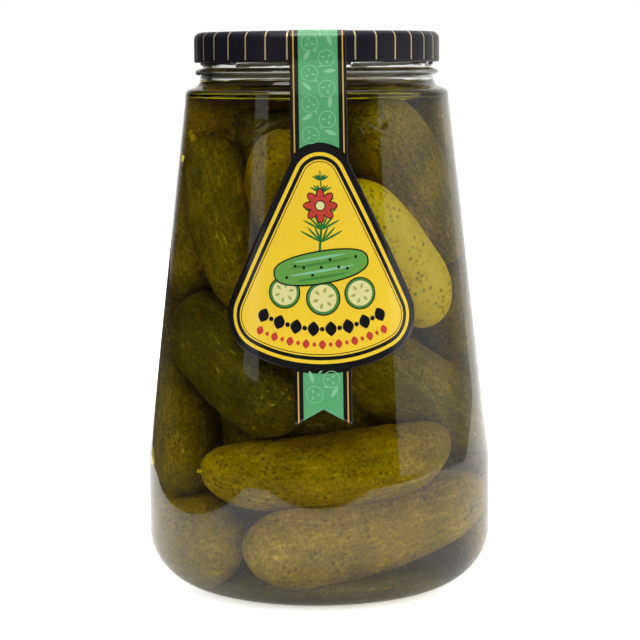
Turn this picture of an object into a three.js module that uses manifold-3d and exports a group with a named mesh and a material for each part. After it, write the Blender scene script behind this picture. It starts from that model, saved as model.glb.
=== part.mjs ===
// A tall conical glass jar of whole gherkins, shut by a 100 mm twist-off lid and sealed by a paper label
// that hangs from the lid down the front. Millimetres, +Z up, the origin on the floor under the jar's
// axis, the label towards -Y.
import * as THREE from 'three';
import { mergeVertices } from 'three/addons/utils/BufferGeometryUtils.js';
import Module from 'manifold-3d';

// Jar body
const JAR_RADIUS = 72.85;
const FOOT_INNER_RADIUS = 38;
const FOOT_RADIUS = 43;
const FOOT_PUSH_UP = 2.5;
const HEEL_HEIGHT = 25.5;
const CONE_FOOT = 56;
const CONE_TOP = 208;
const CONE_TOP_RADIUS = 55.5;
const WALL = 3.2;
const BOTTOM_THICKNESS = 5.5;
const INNER_FLOOR = BOTTOM_THICKNESS + FOOT_PUSH_UP;

// Jar shoulder and neck
const SHOULDER_ARC = 2.7;
const SHOULDER_TOP = 212.2;
const NECK_RADIUS = 49.15;
const NECK_FILLET = 4;
const NECK_FOOT = 216.4;
const BEAD_RADIUS = 51.35;
const BEAD_MIDDLE = 219;
const BEAD_HALF_HEIGHT = 1.7;
const FINISH_RADIUS = 48.1;
const MOUTH_RADIUS = 44.6;
const RIM_TOP = 234.2;
const THREAD_COUNT = 6;
const THREAD_FIRST_ANGLE = -43;
const THREAD_SWEEP = 56;
const THREAD_LOW = 222.6;
const THREAD_RISE = 1.3;
const THREAD_SECTION = 1.2;

// Lid
const LID_RADIUS = 51.65;
const LID_BOTTOM = 223;
const LID_TOP = 235.7;
const LID_SHEET = 0.8;
const LID_SHOULDER = 3.2;
const LID_CURL = 1.7;
const LID_PANEL_RADIUS = 39;
const LID_PANEL_DROP = 0.9;
const LID_PANEL_STEP = 2.5;

// Label: a strip over the lid, a rounded triangle on the front and a swallow tail
const PAPER = 0.4;
const PAPER_GAP = 0.4;
const STRIP_HALF_WIDTH = 11.5;
const STRIP_LID_END = 30;
const TAIL_TIP = 78.8;
const TAIL_NOTCH = 6.4;
const APEX_ARC = 13.4;
const APEX_TOP = 190;
const CORNER_ARC = 16;
const CORNER_MIDDLE = [24.1, 121.8];
const BASE_ARC = 73;
const BASE_LOW = 100.4;
const LABEL_SHIFT = 0.4;
const LABEL_LEAN = 0.0105;

// Gherkins: for each one the middles of its two end caps, its girth, how freely it shifts, how far it sags
// and the share of its girth it loses towards its low end
const BRINE_TOP = 212.5;
const CAP_SHARE = 0.86;
const SQUEEZE = 0.9;
const BOW = 0.045;
const WALL_CLEARANCE = 1.5;
const SETTLE_ROUNDS = 240;
const PUSH_SHARE = 0.5;
const CORE_INSET = 31;
const CORE_ABOVE_FLOOR = 8;
const CORE_BELOW_BRINE = 24;
const BLUNT_POWER = 3.2;
const ROUND_POWER = 2.3;
const BOW_CENTRE = 0.4;
const HEEL_REACH = 0.7;
const HEEL_EASE = 0.3;
const GHERKINS = [
  { low: [-15, -50, 25.5], high: [50, -13, 39], girth: 33, freedom: 0.03, sag: 1.5 },
  { low: [-41, -31, 26], high: [-41, 31, 33], girth: 34, freedom: 0.05, sag: 0 },
  { low: [-31, -43, 53.5], high: [39, -36, 60], girth: 30.5, freedom: 0.03, sag: 5 },
  { low: [-49, -15, 57], high: [-43, 17, 103], girth: 33, freedom: 0.06, sag: 0 },
  { low: [-22, -42, 85], high: [-40, -16, 108], girth: 39, freedom: 0.05, sag: 0 },
  { low: [-28, -31, 135], high: [-40, -9, 177], girth: 32, freedom: 0.03, sag: 0, taper: 0.4 },
  { low: [-46, -5, 138], high: [-45, 4, 167], girth: 28, freedom: 0.06, sag: 0 },
  { low: [-4, 4, 132], high: [-14, -31, 178], girth: 33, freedom: 0.02, sag: 0 },
  { low: [41, 3, 149], high: [24, -21, 193], girth: 36, freedom: 0.05, sag: 0 },
  { low: [37.5, -22, 131], high: [12, -38, 161], girth: 34, freedom: 0.03, sag: 0 },
  { low: [46, 4, 107], high: [33, 28, 130], girth: 33, freedom: 0.1, sag: 0 },
  { low: [46, 8, 66], high: [20, -39, 96], girth: 35, freedom: 0.03, sag: 0 },
  { low: [8, 30, 142], high: [9, 10, 193], girth: 33, freedom: 1, sag: 0 },
  { low: [28, 31, 158], high: [36, 11, 195], girth: 30, freedom: 1, sag: 0 },
  { low: [-34, 18, 194], high: [13, 34, 194], girth: 36, freedom: 1, sag: 0 },
  { low: [-38, 24, 131], high: [-20, 33, 170], girth: 32, freedom: 0.15, sag: 0 },
  { low: [-10, -7, 26], high: [-9, 49, 26], girth: 34, freedom: 0.5, sag: 0 },
  { low: [18, 3, 26], high: [15, 43, 26], girth: 34, freedom: 1, sag: 0 },
  { low: [46, 23, 26], high: [26, 43, 66], girth: 33, freedom: 1, sag: 0 },
  { low: [-33, 39, 60], high: [-20, 40, 109], girth: 35, freedom: 0.3, sag: 0 },
  { low: [36, 38, 58], high: [22, 46, 92], girth: 32, freedom: 1, sag: 0 },
  { low: [-18, -8, 57], high: [-13, 9, 106], girth: 34, freedom: 1, sag: 0 },
  { low: [-6, 51, 58], high: [12, 43, 112], girth: 34, freedom: 1, sag: 0 },
  { low: [13, 13, 57], high: [16, -2, 108], girth: 33, freedom: 1, sag: 0 },
];

// Mesh fineness
const JAR_SIDES = 48;
const GHERKIN_SIDES = 10;
const GHERKIN_RINGS = 8;
const LABEL_COLUMNS = 8;
const LABEL_HEIGHTS = [90, 98, 101.3, 102, 103, 104.5, 107, 110, 113.5, 118, 123, 129, 138, 148, 158, 168];
LABEL_HEIGHTS.push(178, 183, 190, 199);

const wasm = await Module();
wasm.setup();

function weld(geometry) {
  const bare = geometry.clone();
  bare.deleteAttribute('normal');
  bare.deleteAttribute('uv');
  return mergeVertices(bare, 1e-4);
}

function toSolid(geometry) {
  const welded = weld(geometry);
  const vertProperties = new Float32Array(welded.attributes.position.array);
  const triVerts = new Uint32Array(welded.index.array);
  return new wasm.Manifold(new wasm.Mesh({ numProp: 3, vertProperties, triVerts }));
}

function toGeometry(solid) {
  const mesh = solid.getMesh();
  const geometry = new THREE.BufferGeometry();
  geometry.setAttribute('position', new THREE.BufferAttribute(mesh.vertProperties, 3));
  geometry.setIndex(new THREE.BufferAttribute(mesh.triVerts, 1));
  geometry.computeVertexNormals();
  return geometry;
}

// The outer shell of the largest body: sealed hollows come out filled and loose scraps are dropped
function largestBody(solid) {
  const bodies = solid.decompose();
  bodies.sort((a, b) => b.volume() - a.volume());
  return bodies[0];
}

function mapVertices(geometry, place) {
  const positions = geometry.attributes.position;
  const point = new THREE.Vector3();
  for (let i = 0; i < positions.count; i += 1) {
    place(point.fromBufferAttribute(positions, i));
    positions.setXYZ(i, point.x, point.y, point.z);
  }
  return geometry;
}

// Points of an elliptical arc in the (radius, height) plane, angles in degrees from the outward direction
function arc(centre, radii, from, to, steps) {
  const points = [];
  for (let i = 0; i <= steps; i += 1) {
    const angle = THREE.MathUtils.degToRad(THREE.MathUtils.lerp(from, to, i / steps));
    points.push([centre[0] + radii[0] * Math.cos(angle), centre[1] + radii[1] * Math.sin(angle)]);
  }
  return points;
}

// A lathe about +Z; the profile runs from the axis at the bottom, up the outside, back to the axis
function turned(profile) {
  const points = profile.map(([radius, height]) => new THREE.Vector2(radius, height));
  return new THREE.LatheGeometry(points, JAR_SIDES).rotateX(Math.PI / 2);
}

function coneRadius(height) {
  const share = THREE.MathUtils.clamp((height - CONE_FOOT) / (CONE_TOP - CONE_FOOT), 0, 1);
  return THREE.MathUtils.lerp(JAR_RADIUS, CONE_TOP_RADIUS, share);
}

// Inner wall of the body: the cone less the wall, turning in over the heel
function innerRadius(height) {
  const heel = THREE.MathUtils.clamp((height - BOTTOM_THICKNESS) / (HEEL_HEIGHT - BOTTOM_THICKNESS), 0, 1);
  const turn = Math.sqrt(1 - (1 - heel) ** 2);
  return THREE.MathUtils.lerp(FOOT_RADIUS, coneRadius(height) - WALL, turn);
}

function jarGlass() {
  const heelSpan = JAR_RADIUS - FOOT_RADIUS;
  const innerSpan = JAR_RADIUS - WALL - FOOT_RADIUS;
  const innerHeel = HEEL_HEIGHT - BOTTOM_THICKNESS;
  const shoulderInside = CONE_TOP_RADIUS - WALL;
  const shoulderMiddle = [CONE_TOP_RADIUS - SHOULDER_ARC, SHOULDER_TOP - SHOULDER_ARC];
  const outside = [
    [0, FOOT_PUSH_UP],
    [FOOT_INNER_RADIUS * 0.8, FOOT_PUSH_UP * 0.6],
    [FOOT_INNER_RADIUS, 0],
    ...arc([FOOT_RADIUS, HEEL_HEIGHT], [heelSpan, HEEL_HEIGHT], -90, 0, 7),
    [JAR_RADIUS, CONE_FOOT - 4],
    [coneRadius(CONE_FOOT + 4), CONE_FOOT + 4],
    ...arc(shoulderMiddle, [SHOULDER_ARC, SHOULDER_ARC], 6, 62, 4),
    ...arc([NECK_RADIUS + NECK_FILLET, NECK_FOOT], [NECK_FILLET, NECK_FILLET], 242, 180, 3),
    ...arc([FINISH_RADIUS, BEAD_MIDDLE], [BEAD_RADIUS - FINISH_RADIUS, BEAD_HALF_HEIGHT], -72, 90, 5),
    [FINISH_RADIUS, RIM_TOP - 1],
    [FINISH_RADIUS - 1, RIM_TOP],
  ];
  const inside = [
    [MOUTH_RADIUS + 1, RIM_TOP],
    [MOUTH_RADIUS, RIM_TOP - 1],
    [MOUTH_RADIUS, NECK_FOOT],
    [shoulderInside - 3, SHOULDER_TOP - WALL],
    [shoulderInside, CONE_TOP - WALL],
    [JAR_RADIUS - WALL, CONE_FOOT],
    ...arc([FOOT_RADIUS, HEEL_HEIGHT], [innerSpan, innerHeel], 0, -90, 5),
    [0, INNER_FLOOR],
  ];
  let glass = toSolid(turned([...outside, ...inside]));
  for (let i = 0; i < THREAD_COUNT; i += 1) {
    glass = glass.add(toSolid(threadRamp(THREAD_FIRST_ANGLE + (i * 360) / THREAD_COUNT)));
  }
  return toGeometry(glass);
}

// One ramp of the twist-off thread, rising to the right round the finish
function threadRamp(startAngle) {
  const steps = 7;
  const route = [];
  for (let i = 0; i <= steps; i += 1) {
    const angle = THREE.MathUtils.degToRad(startAngle + (THREAD_SWEEP * i) / steps);
    const height = THREAD_LOW + (THREAD_RISE * i) / steps;
    const radius = FINISH_RADIUS + 0.2;
    route.push(new THREE.Vector3(radius * Math.sin(angle), -radius * Math.cos(angle), height));
  }
  const section = new THREE.Shape(new THREE.EllipseCurve(0, 0, THREAD_SECTION, THREAD_SECTION).getPoints(6));
  const path = new THREE.CatmullRomCurve3(route);
  return new THREE.ExtrudeGeometry(section, { steps, extrudePath: path, bevelEnabled: false });
}

function lidShell() {
  const rimFlat = LID_RADIUS - LID_SHOULDER;
  const panelTop = LID_TOP - LID_PANEL_DROP;
  const outside = [
    ...arc([LID_RADIUS - LID_CURL / 2, LID_BOTTOM + LID_CURL / 2], [LID_CURL / 2, LID_CURL / 2], -180, 0, 4),
    ...arc([rimFlat, LID_TOP - LID_SHOULDER], [LID_SHOULDER, LID_SHOULDER], 0, 90, 5),
    [LID_PANEL_RADIUS + LID_PANEL_STEP, LID_TOP],
    [LID_PANEL_RADIUS, panelTop],
    [0, panelTop],
  ];
  const inside = [
    [0, panelTop - LID_SHEET],
    [LID_PANEL_RADIUS + LID_SHEET, panelTop - LID_SHEET],
    [LID_PANEL_RADIUS + LID_PANEL_STEP + LID_SHEET, LID_TOP - LID_SHEET],
    ...arc([rimFlat, LID_TOP - LID_SHOULDER], [LID_SHOULDER - LID_SHEET, LID_SHOULDER - LID_SHEET], 90, 0, 3),
    [LID_RADIUS - LID_SHEET, LID_BOTTOM + LID_CURL],
  ];
  return turned([...inside, ...outside]);
}

// Half width of the label at a height: the strip, or the rounded triangle where that is wider
function labelHalfWidth(height) {
  const apexMiddle = APEX_TOP - APEX_ARC;
  const [cornerOut, cornerHeight] = CORNER_MIDDLE;
  const rise = apexMiddle - cornerHeight;
  const widening = Math.asin((CORNER_ARC - APEX_ARC) / Math.hypot(cornerOut, rise));
  const slant = Math.atan2(cornerOut, rise) + widening;
  const sideTop = apexMiddle + APEX_ARC * Math.sin(slant);
  const sideFoot = cornerHeight + CORNER_ARC * Math.sin(slant);
  const baseCentre = BASE_LOW + BASE_ARC;
  const baseTurn = cornerHeight - (CORNER_ARC * (baseCentre - cornerHeight)) / (BASE_ARC - CORNER_ARC);
  let triangle = 0;
  if (height >= sideTop) {
    triangle = Math.sqrt(Math.max(0, APEX_ARC ** 2 - (height - apexMiddle) ** 2));
  } else if (height >= sideFoot) {
    triangle = APEX_ARC * Math.cos(slant) + (sideTop - height) * Math.tan(slant);
  } else if (height >= baseTurn) {
    triangle = cornerOut + Math.sqrt(CORNER_ARC ** 2 - (height - cornerHeight) ** 2);
  } else {
    triangle = Math.sqrt(Math.max(0, BASE_ARC ** 2 - (baseCentre - height) ** 2));
  }
  return Math.max(STRIP_HALF_WIDTH, triangle);
}

// Rows of the label from the tail to its end on the lid, as (radius, height) on the surface it lies on
function labelRows() {
  const rows = [];
  [TAIL_TIP, ...LABEL_HEIGHTS].forEach((height) => rows.push([coneRadius(height), height]));
  rows.push([CONE_TOP_RADIUS, SHOULDER_TOP - SHOULDER_ARC + 0.5]);
  rows.push([LID_RADIUS, LID_BOTTOM + LID_CURL / 2]);
  const shoulder = [LID_SHOULDER, LID_SHOULDER];
  rows.push(...arc([LID_RADIUS - LID_SHOULDER, LID_TOP - LID_SHOULDER], shoulder, 0, 90, 4));
  rows.push([LID_PANEL_RADIUS + LID_PANEL_STEP, LID_TOP]);
  rows.push([LID_PANEL_RADIUS, LID_TOP - LID_PANEL_DROP]);
  rows.push([STRIP_LID_END, LID_TOP - LID_PANEL_DROP]);
  return rows;
}

// A thin box bent over the rows: its columns run round the jar, its two faces lie one paper apart
function labelPaper() {
  const rows = labelRows();
  const last = rows.length - 1;
  const normals = rows.map((row, i) => {
    const before = rows[Math.max(i - 1, 0)];
    const after = rows[Math.min(i + 1, last)];
    const along = new THREE.Vector2(after[0] - before[0], after[1] - before[1]).normalize();
    return [along.y, -along.x];
  });
  const box = new THREE.BoxGeometry(2, last, 1, LABEL_COLUMNS, last, 1);
  return mapVertices(box, (point) => {
    const row = Math.round(point.y + last / 2);
    const lift = PAPER_GAP + (point.z + 0.5) * PAPER;
    const notch = row === 0 ? TAIL_NOTCH * (1 - Math.abs(point.x)) : 0;
    const height = rows[row][1] + notch;
    const surface = rows[row][0] + normals[row][0] * lift;
    const wrap = rows[row][1] > LID_BOTTOM ? LID_RADIUS + lift : surface;
    const across = point.x * labelHalfWidth(rows[row][1]) + LABEL_SHIFT + (LID_TOP - height) * LABEL_LEAN;
    const angle = across / wrap;
    const inward = wrap - surface;
    point.set(wrap * Math.sin(angle), inward - wrap * Math.cos(angle), height + normals[row][1] * lift);
  });
}

// Gherkins as capsules, pushed apart and back inside the glass until they lie side by side
function settledGherkins() {
  const heap = GHERKINS.map(({ low, high, girth, freedom, sag, taper = 0 }) => {
    const line = new THREE.Line3(new THREE.Vector3(...low), new THREE.Vector3(...high));
    const radius = (girth / 2) * SQUEEZE * (1 - taper / 2);
    return { line, span: line.distance(), radius, girth, freedom, sag, taper };
  });
  for (let round = 0; round < SETTLE_ROUNDS; round += 1) {
    const before = heap.map(({ line }) => line.clone());
    heap.forEach((one, i) => heap.slice(i + 1).forEach((other, j) => {
      pushApart(one, before[i], other, before[i + 1 + j]);
    }));
    heap.forEach(keepInside);
  }
  return heap;
}

// Moves two gherkins apart by a part of their overlap, measured on their lines as the round began
function pushApart(one, lineOne, other, lineOther) {
  const onOne = new THREE.Vector3();
  const onOther = new THREE.Vector3();
  const distance = Math.sqrt(lineOne.distanceSqToLine3(lineOther, onOne, onOther));
  const overlap = (one.radius + other.radius - distance) * PUSH_SHARE;
  if (overlap <= 0) {
    return;
  }
  const away = onOne.clone().sub(onOther).divideScalar(Math.max(distance, 1e-6));
  const whole = one.freedom + other.freedom;
  const shareOne = lineOne.closestPointToPointParameter(onOne, true);
  const shareOther = lineOther.closestPointToPointParameter(onOther, true);
  shift(one.line, shareOne, away, (overlap * one.freedom) / whole);
  shift(other.line, shareOther, away, (-overlap * other.freedom) / whole);
}

// Moves the point at a share of the line by a distance, each end in proportion to its nearness
function shift(line, share, direction, distance) {
  const weight = (1 - share) ** 2 + share ** 2;
  line.start.addScaledVector(direction, (distance * (1 - share)) / weight);
  line.end.addScaledVector(direction, (distance * share) / weight);
}

// Keeps a gherkin's length, then draws its ends back from the wall, the bottom and the top of the brine
function keepInside({ line, span, radius, girth }) {
  const middle = line.getCenter(new THREE.Vector3());
  const half = line.delta(new THREE.Vector3()).setLength(span / 2);
  line.start.copy(middle).sub(half);
  line.end.copy(middle).add(half);
  [line.start, line.end].forEach((tip) => {
    tip.z = THREE.MathUtils.clamp(tip.z, INNER_FLOOR + girth / 2 + WALL_CLEARANCE, BRINE_TOP - girth / 2);
    const room = Math.min(innerRadius(tip.z), innerRadius(tip.z - radius * HEEL_REACH) + radius * HEEL_EASE);
    const most = room - girth / 2 - WALL_CLEARANCE;
    const pull = Math.min(1, most / Math.max(Math.hypot(tip.x, tip.y), 1e-6));
    tip.x *= pull;
    tip.y *= pull;
  });
}

// A blunt round-ended body on a slightly bowed middle line, its hollow side towards the jar's axis
function gherkinBody({ line, span, girth, sag, taper }) {
  const ball = new THREE.SphereGeometry(1, GHERKIN_SIDES, GHERKIN_RINGS);
  const along = line.delta(new THREE.Vector3()).normalize();
  const middle = line.getCenter(new THREE.Vector3());
  const outward = new THREE.Vector3(middle.x, middle.y, 0);
  outward.addScaledVector(along, -outward.dot(along)).normalize();
  const sideways = new THREE.Vector3().crossVectors(along, outward);
  const down = new THREE.Vector3(0, 0, -1).addScaledVector(along, along.z);
  const halfLength = span / 2 + (CAP_SHARE * girth) / 2;
  return mapVertices(ball, (point) => {
    const share = point.y;
    const ring = Math.hypot(point.x, point.z);
    const blunt = (1 - Math.abs(share) ** BLUNT_POWER) ** (1 / ROUND_POWER);
    const radius = (girth / 2) * blunt * (1 - (taper * (1 - share)) / 2);
    const scale = ring > 1e-6 ? radius / ring : 0;
    const bow = BOW * halfLength * (BOW_CENTRE - share ** 2);
    const across = point.x * scale;
    const out = point.z * scale + bow;
    point.copy(middle).addScaledVector(along, share * halfLength);
    point.addScaledVector(outward, out).addScaledVector(sideways, across);
    point.addScaledVector(down, sag * (BOW_CENTRE - share ** 2));
  });
}

function gherkinHeap() {
  const heap = settledGherkins();
  const coreFoot = INNER_FLOOR + CORE_ABOVE_FLOOR;
  const coreHead = BRINE_TOP - CORE_BELOW_BRINE;
  const core = [
    [0, coreFoot],
    [innerRadius(coreFoot) - CORE_INSET, coreFoot],
    [innerRadius(CONE_FOOT) - CORE_INSET, CONE_FOOT],
    [innerRadius(coreHead) - CORE_INSET, coreHead],
    [0, coreHead],
  ];
  let fused = toSolid(turned(core));
  heap.forEach((gherkin) => {
    fused = fused.add(toSolid(gherkinBody(gherkin)));
  });
  return toGeometry(largestBody(fused));
}

function piece(name, geometry, finish) {
  const mesh = new THREE.Mesh(geometry, new THREE.MeshStandardMaterial(finish));
  mesh.name = name;
  return mesh;
}

const jar = new THREE.Group();
const clear = { color: 0xdfe6e0, roughness: 0.05, metalness: 0, opacity: 0.3, transparent: true };
jar.add(piece('jar_glass', jarGlass(), clear));
jar.add(piece('lid', lidShell(), { color: 0x201f25, roughness: 0.25, metalness: 0.2 }));
jar.add(piece('label', labelPaper(), { color: 0xe7c236, roughness: 0.5, metalness: 0 }));
jar.add(piece('pickles', gherkinHeap(), { color: 0x5f5a12, roughness: 0.4, metalness: 0 }));

export default jar;
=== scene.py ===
import math

import bpy
import numpy as np
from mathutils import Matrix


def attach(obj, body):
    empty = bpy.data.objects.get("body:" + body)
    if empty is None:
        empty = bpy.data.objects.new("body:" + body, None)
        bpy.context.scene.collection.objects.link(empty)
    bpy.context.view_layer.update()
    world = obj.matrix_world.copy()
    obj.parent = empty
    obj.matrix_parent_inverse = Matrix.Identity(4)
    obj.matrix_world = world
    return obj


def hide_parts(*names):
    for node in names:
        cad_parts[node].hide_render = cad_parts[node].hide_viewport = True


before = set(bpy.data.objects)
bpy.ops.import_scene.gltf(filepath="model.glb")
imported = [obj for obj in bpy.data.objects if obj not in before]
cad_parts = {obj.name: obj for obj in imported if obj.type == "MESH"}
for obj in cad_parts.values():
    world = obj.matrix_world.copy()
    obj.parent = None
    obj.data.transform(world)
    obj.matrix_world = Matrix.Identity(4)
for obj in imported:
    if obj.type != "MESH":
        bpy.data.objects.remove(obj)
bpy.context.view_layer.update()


# Jar
# One piece of clear flint glass, blown in a split mould: a heavy heel, a tapering body with a raised
# leaf scroll round its top, a rounded shoulder, the transfer bead and six thread ramps under the lid.
MM = 0.001
JAR_RADIUS = 72.85
FOOT_INNER_RADIUS = 38
FOOT_RADIUS = 43
FOOT_PUSH_UP = 2.5
PUSH_UP_TURN = (FOOT_INNER_RADIUS * 0.8, FOOT_PUSH_UP * 0.6)
HEEL_HEIGHT = 25.5
CONE_FOOT = 56
CONE_EASE = 1.7
CONE_TOP = 208
CONE_TOP_RADIUS = 55.5
WALL = 3.2
BOTTOM = 5.5
INNER_FLOOR = BOTTOM + FOOT_PUSH_UP
SHOULDER_ARC = 2.7
SHOULDER_TOP = 212.2
NECK_RADIUS = 49.15
NECK_FILLET = 4
NECK_FOOT = 216.4
BEAD_RADIUS = 51.35
BEAD_MIDDLE = 219
BEAD_HALF_HEIGHT = 1.7
FINISH_RADIUS = 48.1
MOUTH_RADIUS = 44.6
RIM_TOP = 234.2
THREAD_COUNT = 6
THREAD_FIRST_ANGLE = -43
THREAD_SWEEP = 56
THREAD_LOW = 222.6
THREAD_RISE = 1.3
THREAD_SECTION = 1.2
THREAD_RUN_OUT = 0.06
THREAD_TOP = 226
LIP = 1
SCROLL_MIDDLE = 197
SCROLL_HALF_BAND, SCROLL_FADE = 6.5, 1
SCROLL_ROWS = (187, 206)
SCROLL_REPEATS = 26
SCROLL_START = 0.4
SCROLL_RELIEF = 0.35
STEM_WAVE, STEM_RELIEF = 2.8, 0.7
STEM_HALF_WIDTH, STEM_FOOT = 0.2, 1
LEAF_PLACE, LEAF_SLANT = (1.6, 1.2), (0.82, 0.57)
LEAF_HALF_LENGTH, LEAF_HALF_WIDTH = 3.6, 1.7
BERRY_PLACE, BERRY_RADIUS = (-3.8, 2.2), 1.3
LABEL_MIDDLE, LABEL_CLEAR = 0.8, (12.5, 14.5)
SCROLL_SIDE_ENDS = (37, 41)
BODY_SKIN, NECK_SKIN = 1, 0.3
JAR_COLUMNS = 520
INNER_FILLET = 7.4
INNER_CORNER = 2.1
GLASS_INDEX = 1.5
BRINE_INDEX = 1.34
BRINE_LEVEL = 214.2
MENISCUS = 1.3


def smoothstep(low, high, value):
    """0 below low, 1 above high, and 3t2 - 2t3 between them."""
    share = np.clip((value - low) / (high - low), 0, 1)
    return share * share * (3 - 2 * share)


def arc(centre, radii, start, stop, count):
    """Points of an elliptical arc in the (radius, height) plane, angles in degrees from outward."""
    angle = np.radians(np.linspace(start, stop, count))
    return np.stack([centre[0] + radii[0] * np.cos(angle), centre[1] + radii[1] * np.sin(angle)], 1)


def line(start, stop, spacing):
    """Points from start to stop in the (radius, height) plane, no further apart than the spacing."""
    start, stop = np.array(start, float), np.array(stop, float)
    count = max(2, int(np.ceil(np.linalg.norm(stop - start) / spacing)) + 1)
    return start + (stop - start) * np.linspace(0, 1, count)[:, None]


def chain(*runs):
    """One profile from several runs of points, without the points that two runs share."""
    points = np.concatenate(runs)
    apart = np.linalg.norm(np.diff(points, axis=0), axis=1) > 0.02
    return points[np.concatenate([[True], apart])]


def cone_radius(height):
    """Outer radius of the body: the widest radius up to the cone's foot, then tapering evenly."""
    return np.interp(height, [CONE_FOOT, CONE_TOP], [JAR_RADIUS, CONE_TOP_RADIUS])


def on_cone(height):
    """A point of the body's outside in the (radius, height) plane."""
    return float(cone_radius(height)), height


def inner_radius(height):
    """Inner wall: the cone less the wall, turning in over the heel along a quarter ellipse."""
    heel = np.clip((height - BOTTOM) / (HEEL_HEIGHT - BOTTOM), 0, 1)
    turn = np.sqrt(1 - (1 - heel) ** 2)
    return FOOT_RADIUS + (cone_radius(height) - WALL - FOOT_RADIUS) * turn


def grid_faces(rows, columns, closed):
    """Quads between the rows and columns of a grid, the last column meeting the first if closed."""
    across = np.arange(columns if closed else columns - 1)
    along = np.arange(rows - 1)[:, None]
    right = (across + 1) % columns
    row, next_row = along * columns, (along + 1) * columns
    corners = [row + across, row + right, next_row + right, next_row + across]
    return np.stack(corners, -1).reshape(-1, 4)


def turned_faces(rows, columns, start=0):
    """Faces of a turned piece whose points are numbered from a start: quads between its rings, and a fan
    to a pole before and after them."""
    ring = np.arange(columns)
    step = np.roll(ring, -1)
    top_ring = (rows - 1) * columns
    foot = np.stack([np.full(columns, rows * columns), step, ring], 1)
    head = np.stack([np.full(columns, rows * columns + 1), ring + top_ring, step + top_ring], 1)
    quads = grid_faces(rows, columns, True)
    return (quads + start).tolist() + (foot + start).tolist() + (head + start).tolist()


def make_piece(name, points, faces, material):
    """A smooth mesh object at the origin, from points in millimetres and lists of corner numbers."""
    mesh = bpy.data.meshes.new(name)
    mesh.from_pydata((np.asarray(points, float).reshape(-1, 3) * MM).tolist(), [], faces)
    mesh.shade_smooth()
    mesh.materials.append(material)
    piece = bpy.data.objects.new(name, mesh)
    bpy.context.scene.collection.objects.link(piece)
    return piece


def second_finish(piece, material, rows, columns):
    """Gives the chosen rows of a turned piece, and the fan to its last pole, a second material."""
    piece.data.materials.append(material)
    chosen = np.concatenate([np.repeat(rows, columns), np.zeros(columns), np.ones(columns)])
    piece.data.polygons.foreach_set("material_index", chosen.astype(np.int32))


def turned_points(profile, columns, lift=None):
    """A profile swept round +Z: ring points, then the two poles where it leaves and meets the axis.
    lift(angle, height, radius) adds to the radius of each ring point."""
    angle = np.linspace(0, 2 * np.pi, columns, endpoint=False)[None, :]
    radius, height = profile[1:-1, 0][:, None], profile[1:-1, 1][:, None]
    reach = radius + (lift(angle, height, radius) if lift else 0)
    rings = np.stack([reach * np.sin(angle), -reach * np.cos(angle), height + 0 * angle], -1)
    poles = np.array([[0, 0, profile[0, 1]], [0, 0, profile[-1, 1]]])
    return np.concatenate([rings.reshape(-1, 3), poles]), len(radius)


def turned_piece(name, profile, columns, material, lift=None):
    """A piece swept round +Z from its profile, and the count of its rings."""
    points, rows = turned_points(profile, columns, lift)
    return make_piece(name, points, turned_faces(rows, columns), material), rows


def leaf_scroll(angle, height):
    """Relief of the leaf scroll: a wavy stem with one pointed leaf in each bay, above and below in turn,
    and a berry beside each leaf; every form is a rounded ridge over its distance in the bay."""
    bay = 2 * np.pi / SCROLL_REPEATS
    width = bay * CONE_TOP_RADIUS
    turn = np.mod(angle + SCROLL_START * bay, 2 * bay)
    above = np.where(turn < bay, 1, -1)
    across = (np.mod(turn, bay) / bay - 0.5) * width
    up = (height - SCROLL_MIDDLE) * above
    stem = np.abs(up + STEM_WAVE * np.cos(np.pi * across / width))
    ridge = STEM_RELIEF * (1 - smoothstep(STEM_HALF_WIDTH, STEM_FOOT, stem))
    leaf_across, leaf_up = across - LEAF_PLACE[0], up - LEAF_PLACE[1]
    along = leaf_across * LEAF_SLANT[0] + leaf_up * LEAF_SLANT[1]
    off = leaf_up * LEAF_SLANT[0] - leaf_across * LEAF_SLANT[1]
    leaf_half = LEAF_HALF_WIDTH * np.clip(1 - (along / LEAF_HALF_LENGTH) ** 2, 0, 1)
    leaf = smoothstep(0, 1, leaf_half - np.abs(off))
    berry = smoothstep(0, 1, BERRY_RADIUS - np.hypot(across - BERRY_PLACE[0], up - BERRY_PLACE[1]))
    from_middle = np.abs(height - SCROLL_MIDDLE)
    band = 1 - smoothstep(SCROLL_HALF_BAND - SCROLL_FADE, SCROLL_HALF_BAND, from_middle)
    from_label = np.abs((np.mod(angle + np.pi, 2 * np.pi) - np.pi) * CONE_TOP_RADIUS - LABEL_MIDDLE)
    band = band * smoothstep(*LABEL_CLEAR, from_label)
    band = band * (1 - smoothstep(*SCROLL_SIDE_ENDS, np.abs(np.sin(angle)) * CONE_TOP_RADIUS))
    return SCROLL_RELIEF * band * np.maximum(np.maximum(ridge, leaf), berry)


def jar_relief(angle, height, radius):
    """What stands on the outside of the glass: the leaf scroll on the body, and on the neck the thread,
    whose ramps are half round and run out at both ends."""
    on_body = radius > cone_radius(height) - BODY_SKIN
    relief = np.where(on_body, leaf_scroll(angle, height), 0)
    ramp = np.radians(360 / THREAD_COUNT)
    share = np.mod(angle - np.radians(THREAD_FIRST_ANGLE), ramp) / np.radians(THREAD_SWEEP)
    ends = smoothstep(0, THREAD_RUN_OUT, share) * (1 - smoothstep(1 - THREAD_RUN_OUT, 1, share))
    away = (height - THREAD_LOW - THREAD_RISE * share) / THREAD_SECTION
    thread = THREAD_SECTION * np.sqrt(np.clip(1 - away ** 2, 0, 1)) * ends
    on_neck = (np.abs(radius - FINISH_RADIUS) < NECK_SKIN) & (height > BEAD_MIDDLE)
    return relief + np.where(on_neck, thread, 0)


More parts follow.
